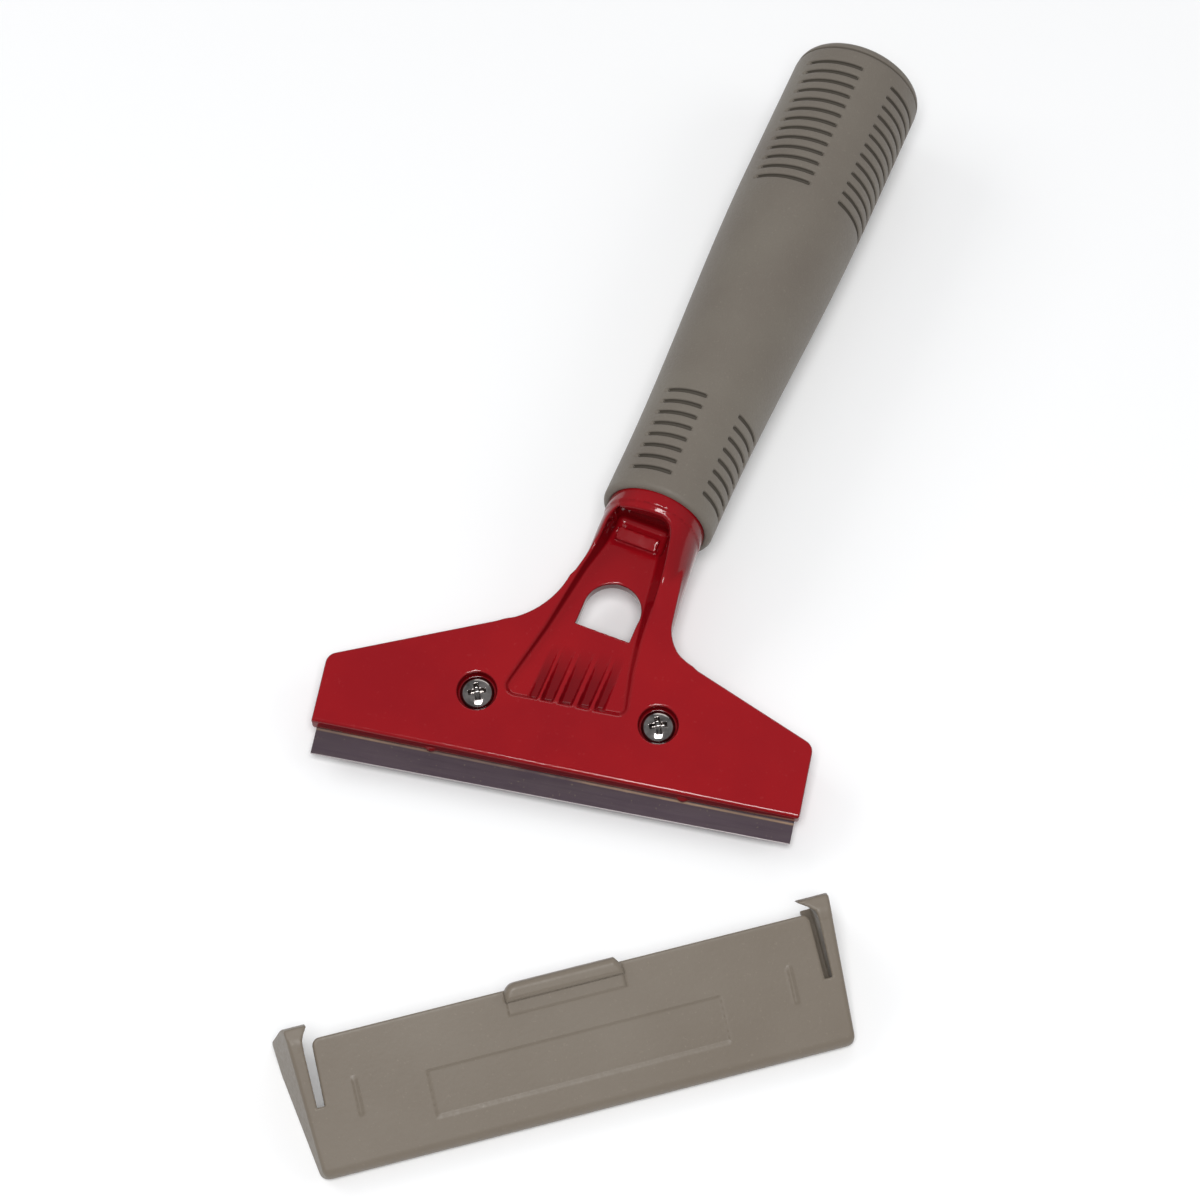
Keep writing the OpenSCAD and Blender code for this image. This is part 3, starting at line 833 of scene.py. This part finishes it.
def guard_shape(x, y, z):
    ax = np.abs(x)
    front_up = (y - TIP_Y) * math.cos(GUARD_SLOPE) + (z - TIP_Z) * math.sin(GUARD_SLOPE)
    front_out = -(y - TIP_Y) * math.sin(GUARD_SLOPE) + (z - TIP_Z) * math.cos(GUARD_SLOPE) - TIP_R
    front = z > TIP_Z
    behind = np.clip(-front_out, 0, 16)
    # the ends lean out a little towards the opening and towards the back, and their corners are rounded
    xs = ax - GUARD_LEAN * (y - TIP_Y + TIP_R) - GUARD_FLARE * behind
    tip_low = TIP_Y - TIP_R
    end = arc(GUARD_HALF - 2.0, tip_low + 2.0, 2.0, -90, 0)
    plan = outline(xs, y, [(-12, 60), (-12, tip_low)] + end + [(GUARD_HALF, 60)])
    outer = common(wedge(y, z, TIP_R), plan, 0.7)
    inner = common(wedge(y, z, TIP_R - GUARD_WALL), ax - GUARD_IN - GUARD_FLARE * behind, 0.6)
    # plain sunk rectangle, and a short raised mark near each end
    label = outline(x, front_up, [(-30.5, 4.8), (30, 4.8), (30, 14.2), (-30.5, 14.2)])
    outer = outer + 0.25 * smooth(0.5 - label / 0.5) * front
    mark = stadium(ax, front_up, (45.0, 9.2), (44.9, 16.2), 0.35)
    outer = outer - 0.35 * smooth(0.5 - mark / 0.7) * front
    shell = cut(outer, inner, 0.35)
    # the front panel's top edge and the lower rear one; both stop short of the end clips at the slots
    edge = PANEL_EDGE + 0.03 * np.clip(PANEL_TOP - y, 0, 20)
    front_panel = common(common(y - PANEL_TOP, ax - edge, 1.5), -(z + 3.0), 0.3)
    rear_panel = common(common(y - REAR_TOP, ax - edge + 3.5, 1.5), z + 2.0)
    panels = common(shell, union(front_panel, rear_panel), 0.5)
    # end clips, taller towards their rounded back
    top = (y - CLIP_RISE * behind - HOOK_TOP) * 0.96
    clips = common(common(shell, top, 0.5), GUARD_IN - ax, 0.3)
    foot = common(common(shell, y - SLOT_FOOT, 0.3), GUARD_IN - 7.0 - ax)
    d = union(union(panels, clips), foot)
    # hook along the top of each clip; the right one reaches further in
    reach = np.where(x > 0, 3.4, 1.5)
    claw = [(-1.0, -3), (-1.0, 0.08), (-0.45, 0.42), (-0.1, 0.75), (0.05, 1.3), (0.9, 1.3), (0.9, -3)]
    under = outline((ax - GUARD_IN) / reach, (HOOK_TOP + CLIP_RISE * behind - y) / 3.4, claw)
    under = under * np.where(x > 0, 3.0, 1.5)
    hook = common(common(under, plan, 0.4), common(wedge(y, z, TIP_R), behind - 5.0, 0.8), 0.5)
    d = union(d, common(hook, top, 0.25), 0.2)
    bevel = (front_out + 0.34 * (front_up - 26.2)) * 0.947
    d = common(d, np.where(ax > 47, bevel, -9.0), 0.2)
    # thumb bar: a shelf, and a rounded roll above it that rises past the panel's edge
    shelf = common(common(np.abs(x) - 12.1, np.abs(front_up - 22.8) - 2.1), np.abs(front_out) - 0.5, 0.3)
    crown = [(-12.3, 23.5), (12.3, 23.5), (12.0, 25.4), (10.8, 27.1)] + arc(-9.8, 24.6, 2.5, 90, 180)
    roll = common(outline(x, front_up, crown), np.abs(front_out - 0.4) - 1.8, 1.2)
    return union(union(d, shelf, 0.15), roll, 0.0)


def make_guard():
    low = (-GUARD_HALF - 3.6, TIP_Y - TIP_R - 0.3, -14.8)
    high = (GUARD_HALF + 3.6, HOOK_TOP + 0.3, 9.0)
    return solid("blade_guard", guard_shape, low, high, GRID, GUARD_MM)


finish_piece(make_guard(), "guard", "guard_plastic", ["guard"], GUARD)

# hidden CAD nodes keep their own shape
for node, material in (("handle_core", CORE), ("tang_pin", ZINC)):
    cad = frame["nodes"][node]
    cad.data.materials.clear()
    cad.data.materials.append(material)


# --- stage, light and camera ----------------------------------------------------------------------
def make_floor():
    m = Nodes("studio_floor", Roughness=0.9)
    m.to("Base Color", m.mix(m.ramp(m.noise(3, 2), 0.3, 0.7), (0.94, 0.94, 0.94, 1), (0.96, 0.96, 0.96, 1)))
    m.shader.inputs["Specular IOR Level"].default_value = 0.1
    mesh = bpy.data.meshes.new("floor")
    size = 4.0
    corners = [(-size, -size, 0), (size, -size, 0), (size, size, 0), (-size, size, 0)]
    mesh.from_pydata(corners, [], [(0, 1, 2, 3)])
    mesh.materials.append(m.material)
    floor = bpy.data.objects.new("floor", mesh)
    bpy.context.scene.collection.objects.link(floor)


def direction(azimuth, elevation):
    """Unit vector from angles in degrees; azimuth 0 is in front of the blade, and 90 to its right."""
    a, e = math.radians(azimuth), math.radians(elevation)
    return Vector((math.sin(a) * math.cos(e), -math.cos(a) * math.cos(e), math.sin(e)))


def softbox(name, azimuth, elevation, distance, size, watts, mirrored=True):
    """Area light that faces the object; reflections show it only if mirrored."""
    at = direction(azimuth, elevation) * distance
    data = bpy.data.lights.new(name, "AREA")
    data.shape = "RECTANGLE"
    data.size, data.size_y = size
    data.energy = watts
    light = bpy.data.objects.new(name, data)
    light.location = at
    light.rotation_euler = (-at).to_track_quat("-Z", "Y").to_euler()
    light.visible_glossy = mirrored
    bpy.context.scene.collection.objects.link(light)


def make_lights():
    softbox("key", 8, 66, 1.2, (0.4, 0.4), 9.6)
    softbox("fill_left", -105, 38, 1.2, (0.8, 0.5), 2.6, mirrored=False)
    softbox("fill_right", 100, 38, 1.2, (0.8, 0.5), 1.4, mirrored=False)
    softbox("rear", 180, 36, 1.2, (0.9, 0.4), 1.5)
    world = bpy.data.worlds.new("studio")
    bpy.context.scene.world = world
    world.use_nodes = True
    background = world.node_tree.nodes["Background"]
    background.inputs["Color"].default_value = (0.95, 0.97, 1.0, 1)
    background.inputs["Strength"].default_value = 0.3


def make_camera():
    """The front view: 60 degrees above the floor, a little to the right of the blade's middle."""
    roll = math.radians(1.57)
    distance, lens, sensor = 0.8552, 119.43, 36.0
    target = Vector((-0.00983, 0.00175, 0.0))
    back = direction(10.28, 60.22)
    data = bpy.data.cameras.new("camera")
    data.lens, data.sensor_width = lens, sensor
    data.clip_start, data.clip_end = 0.05, 20.0
    camera = bpy.data.objects.new("camera", data)
    camera.location = target + back * distance
    turn = (-back).to_track_quat("-Z", "Y").to_matrix() @ Matrix.Rotation(roll, 3, "Z")
    camera.rotation_euler = turn.to_euler()
    bpy.context.scene.collection.objects.link(camera)
    bpy.context.scene.camera = camera


make_floor()
make_lights()
make_camera()
bpy.context.scene.view_settings.view_transform = "Standard"
